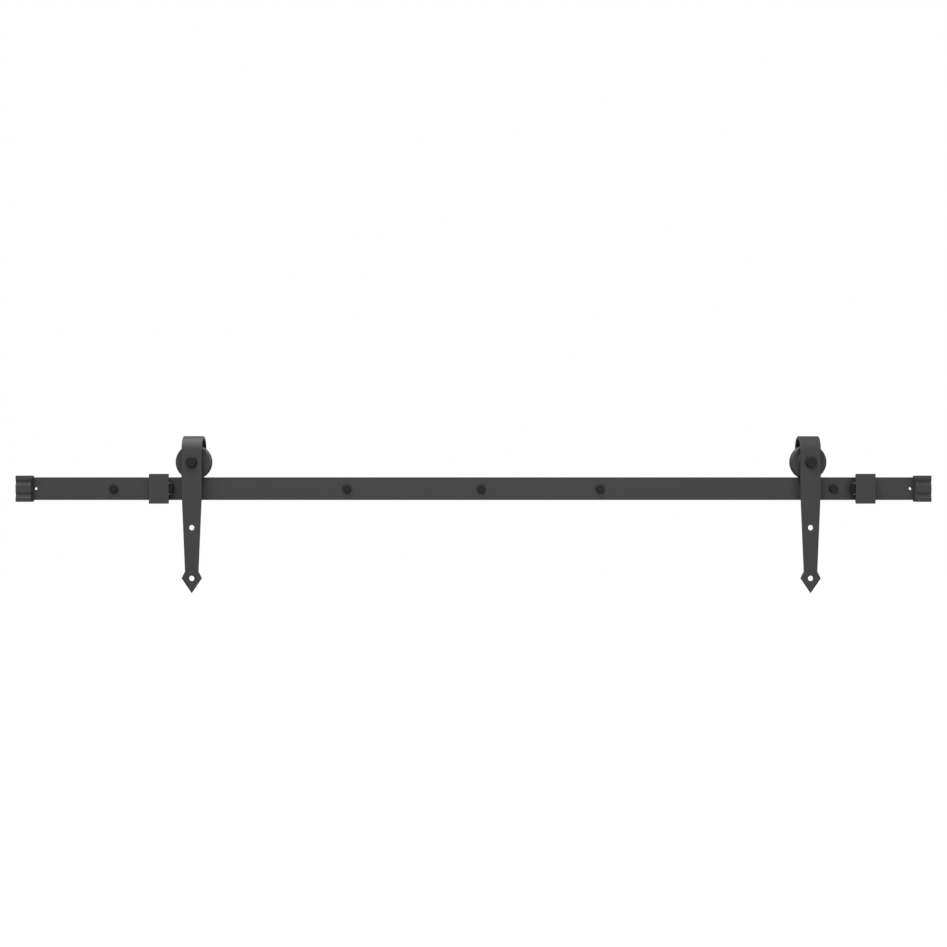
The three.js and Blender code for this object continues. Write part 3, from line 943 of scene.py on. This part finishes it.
def strap_blank(half, length):
    """The strap's outline laid flat, from its arrow tip at 0 to its round end."""
    neck = NECK_WIDTH / 2
    right = [
        (half, TAPER_START_ABOVE_TIP, TAPER_START_R),
        (neck, NECK_ABOVE_TIP, NECK_R),
        (half, LOWER_HOLE_ABOVE_TIP, STRAP_EDGE * CORNER_OVER_EDGE),
        (0.0, 0.0, 0.0),
    ]
    left = [(-a, *rest) for a, *rest in reversed(right[:-1])]
    steps = 32
    round_end = [
        (half * math.cos(t), length - half + half * math.sin(t), 0)
        for t in (math.pi * k / steps for k in range(steps + 1))
    ]
    return list(reversed(rounded(list(reversed(round_end)) + right + left, 0.0)))


def wheel(side):
    """A turned wheel: flanges either side of a flat tread, a raised hub and a bearing pocket."""
    low, high = corners(f"{side}_wheel")
    radius = (high.x - low.x) / 2
    hub = (high.y - low.y) / 2
    face = WHEEL_WIDTH / 2
    mouth = GROOVE_MOUTH / 2
    tread = TREAD_WIDTH / 2
    race_low, race_high = corners(f"{side}_bearing_outer_race")
    shoulder = (race_high.y - race_low.y) / 2 + POCKET_GAP
    pocket = BEARING_R + POCKET_GAP
    profile = rounded(
        [
            (pocket, -hub, POCKET_EDGE),
            (HUB_R, -hub, HUB_EDGE),
            (HUB_R, -face, HUB_FILLET),
            (radius, -face, WHEEL_EDGE),
            (radius, -mouth, GROOVE_EDGE),
            (TREAD_R, -tread, TREAD_CORNER_R),
            (TREAD_R, tread, TREAD_CORNER_R),
            (radius, mouth, GROOVE_EDGE),
            (radius, face, WHEEL_EDGE),
            (HUB_R, face, HUB_FILLET),
            (HUB_R, hub, HUB_EDGE),
            (POCKET_SHOULDER_R, hub, POCKET_EDGE),
            (POCKET_SHOULDER_R, shoulder, POCKET_CORNER_R),
            (pocket, shoulder, POCKET_CORNER_R),
        ],
        0.0,
        steps=5,
    )
    return turned(profile, TURN_FINE)


def groove_points(race_r, outward):
    """A race's ball groove in profile, from one side to the other."""
    lean = math.acos(abs(race_r - BALL_PITCH_R) / RACE_GROOVE_R)
    points = []
    for k in range(RACE_GROOVE_STEPS + 1):
        a = lean * (1 - 2 * k / RACE_GROOVE_STEPS)
        points.append((
            BALL_PITCH_R + outward * RACE_GROOVE_R * math.cos(a),
            outward * RACE_GROOVE_R * math.sin(a),
        ))
    return points


def race(node, outward):
    """A bearing race, grooved for the balls on its inner (outward = 1) or outer (-1) side."""
    low, high = corners(node)
    radius = (high.x - low.x) / 2
    half = (high.y - low.y) / 2
    if outward > 0:
        grooved_r, plain_r, plain_edge = OUTER_RACE_BORE_R, radius, RACE_EDGE
    else:
        grooved_r, plain_r, plain_edge = radius, BORE_R, BORE_EDGE
    way = outward * half
    sides = [
        (grooved_r, -way, RACE_LAND_EDGE),
        (plain_r, -way, plain_edge),
        (plain_r, way, plain_edge),
        (grooved_r, way, RACE_LAND_EDGE),
    ]
    groove = [(a, b, 0) for a, b in groove_points(grooved_r, outward)]
    return turned(rounded(sides + groove, 0.0), TURN_FINE)


def ball_cage():
    """A ring with a round pocket at each ball, and the balls inside them."""
    cage = tube(*CAGE_RADII, CAGE_WIDTH, CAGE_EDGE, TURN_FINE)
    cage.mapped(lambda x, y, z: (x, y - CAGE_WIDTH / 2, z))
    turn = 2 * math.pi / BALL_COUNT
    balls = Solid()
    for i in range(BALL_COUNT):
        x = BALL_PITCH_R * math.cos(i * turn)
        z = BALL_PITCH_R * math.sin(i * turn)
        pocket = sphere(BALL_R + BALL_GAP, BALL_TURN).mapped(lambda a, b, c: (a + x, b, c + z))
        cage = combined(cage, pocket, "DIFFERENCE")
        balls.add(sphere(BALL_R, BALL_TURN).mapped(lambda a, b, c: (a + x, b, c + z)))
    return cage.add(balls)


def sphere(radius, count):
    body = Solid()
    rows = count // 2
    levels = [math.pi * k / rows - math.pi / 2 for k in range(1, rows)]
    rings = [
        body.ring([(a, radius * math.sin(t), b) for a, b in circle(radius * math.cos(t), count)])
        for t in levels
    ]
    body.bridge(rings)
    body.fan(rings[0], (0.0, -radius, 0.0))
    body.fan(rings[-1], (0.0, radius, 0.0))
    return body


def shield(node):
    """A flat ring that closes one side of the bearing."""
    low, high = corners(node)
    return tube(SHIELD_BORE_R, (high.x - low.x) / 2, high.y - low.y, SHIELD_EDGE, TURN_FINE)


def sleeve(node):
    low, high = corners(node)
    return tube(BORE_R, (high.x - low.x) / 2, high.y - low.y, SLEEVE_EDGE)


def axle_bolt(node):
    """A hexagon head, a plain shank and a machine thread with a chamfered end."""
    low, high = corners(node)
    length = high.y - low.y
    plain_end = length - AXLE_THREAD
    body = Solid()
    head = hex_rings(body, AXLE_FLATS, AXLE_HEAD, 0.0, TURN)
    head.reverse()
    body.fill(head[0])
    shank = [round_ring(body, AXLE_R, y, TURN) for y in (AXLE_HEAD, plain_end)]
    thread = thread_rings(
        body, AXLE_R, M8_THREAD_DEPTH, M8_PITCH,
        (plain_end + THREAD_GAP, length - AXLE_TIP), TURN,
    )
    end = round_ring(body, AXLE_R - AXLE_TIP, length, TURN)
    body.bridge(head + shank + thread + [end])
    body.fill(end)
    return body


def axle_nut(node):
    """A hexagon nut, chamfered at both ends, with a countersunk hole."""
    low, high = corners(node)
    height = high.y - low.y
    body = Solid()
    sides = hex_rings(body, AXLE_FLATS, 0.0, height, TURN, both_ends=True)
    flared = BORE_R + NUT_FLARE
    levels = (
        (flared, height), (BORE_R, height - NUT_FLARE), (BORE_R, NUT_FLARE), (flared, 0.0),
    )
    inner = [round_ring(body, radius, y, TURN) for radius, y in levels]
    body.bridge(sides + inner + sides[:1])
    return body


def hanger(side):
    show(f"{side}_hanger_strap", hanger_strap(side))
    axle = middle(f"{side}_wheel")
    show(f"{side}_wheel", wheel(side), axle)
    show(f"{side}_bearing_outer_race", race(f"{side}_bearing_outer_race", 1), axle)
    show(f"{side}_bearing_inner_race", race(f"{side}_bearing_inner_race", -1), axle)
    show(f"{side}_bearing_ball_cage", ball_cage(), axle)
    along_axle = (
        ("bearing_front_shield", shield),
        ("bearing_rear_shield", shield),
        ("front_sleeve", sleeve),
        ("rear_sleeve", sleeve),
        ("axle_bolt", axle_bolt),
        ("axle_nut", axle_nut),
    )
    for name, make in along_axle:
        node = f"{side}_{name}"
        low, _ = corners(node)
        show(node, make(node), (axle.x, low.y, axle.z))


# ---- Studio ----------------------------------------------------------------------------------
# Places and sizes are in metres from here on.

FLOOR_BELOW = 0.55  # under the rail
FLOOR_REACH = 6.0
SKY_LIGHT = 0.32  # how strongly the white surroundings light the object
LIGHT_AIM = (0.0, -0.03, 0.0)
LIGHTS = (  # name, place, width and height, watts
    ("key", (-1.0, -2.4, 1.7), (2.4, 1.6), 36),
    ("front", (1.3, -3.0, 0.4), (2.6, 2.0), 18),
    ("top", (-0.4, -0.4, 1.5), (1.8, 0.7), 30),
    ("back", (0.5, 2.6, 0.9), (2.0, 1.4), 24),
)
CAMERA_DISTANCE = 1.9  # from the rail's front face
CAMERA_HEIGHT = 0.02  # over the rail's centreline; the camera looks level
CAMERA_LENS = 54.69  # millimetres


def area_light(name, place, size, power):
    data = bpy.data.lights.new(name, "AREA")
    data.shape = "RECTANGLE"
    data.size, data.size_y = size
    data.energy = power
    lamp = bpy.data.objects.new(name, data)
    lamp.location = place
    aim = Vector(LIGHT_AIM) - Vector(place)
    lamp.rotation_euler = aim.to_track_quat("-Z", "Y").to_euler()
    bpy.context.scene.collection.objects.link(lamp)
    lamp.visible_camera = False


def surroundings():
    """White where the camera sees it, and dimmer as a light."""
    world = bpy.data.worlds.new("studio")
    bpy.context.scene.world = world
    world.use_nodes = True
    tree = world.node_tree
    tree.nodes.clear()
    seen = linked(tree, "Background", {"Color": grey(1.0), "Strength": 1.0})
    lit = linked(tree, "Background", {"Color": grey(1.0), "Strength": SKY_LIGHT})
    path = linked(tree, "LightPath").outputs["Is Camera Ray"]
    mix = linked(tree, "MixShader", {0: path, 1: lit.outputs[0], 2: seen.outputs[0]})
    output = linked(tree, "OutputWorld")
    tree.links.new(mix.outputs[0], output.inputs["Surface"])


def studio_floor():
    """A floor that is white to the camera, and reflects a little light onto the object."""
    mesh = bpy.data.meshes.new("studio_floor")
    reach = (-FLOOR_REACH, FLOOR_REACH)
    mesh.from_pydata([(a, b, 0) for a, b in rectangle(reach, reach)], [], [(0, 1, 2, 3)])
    floor = bpy.data.objects.new("studio_floor", mesh)
    floor.location.z = -FLOOR_BELOW
    bpy.context.scene.collection.objects.link(floor)
    material, tree, shader = surface("studio_floor")
    tone = noise_at(tree, 0.8, 2)
    colour = mixed_colour(tree, tone, grey(0.36), grey(0.4))
    seen = linked(tree, "LightPath").outputs["Is Camera Ray"]
    join_inputs(
        tree, shader, Base_Color=colour, Roughness=0.9, Emission_Color=grey(1.0),
        Emission_Strength=seen,
    )
    mesh.materials.append(material)


def studio():
    bpy.context.scene.view_settings.view_transform = "Standard"
    surroundings()
    studio_floor()
    for light in LIGHTS:
        area_light(*light)


def camera():
    rail_low, rail_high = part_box("rail_bar")
    data = bpy.data.cameras.new("camera")
    data.lens = CAMERA_LENS
    eye = bpy.data.objects.new("camera", data)
    centre = (rail_low + rail_high) / 2
    eye.location = (centre.x, rail_low.y - CAMERA_DISTANCE, centre.z + CAMERA_HEIGHT)
    eye.rotation_euler = Vector((0.0, 1.0, 0.0)).to_track_quat("-Z", "Y").to_euler()
    bpy.context.scene.collection.objects.link(eye)
    bpy.context.scene.camera = eye


track()
for side, inward in SIDES.items():
    stopper(side, inward)
    hanger(side)
studio()
camera()
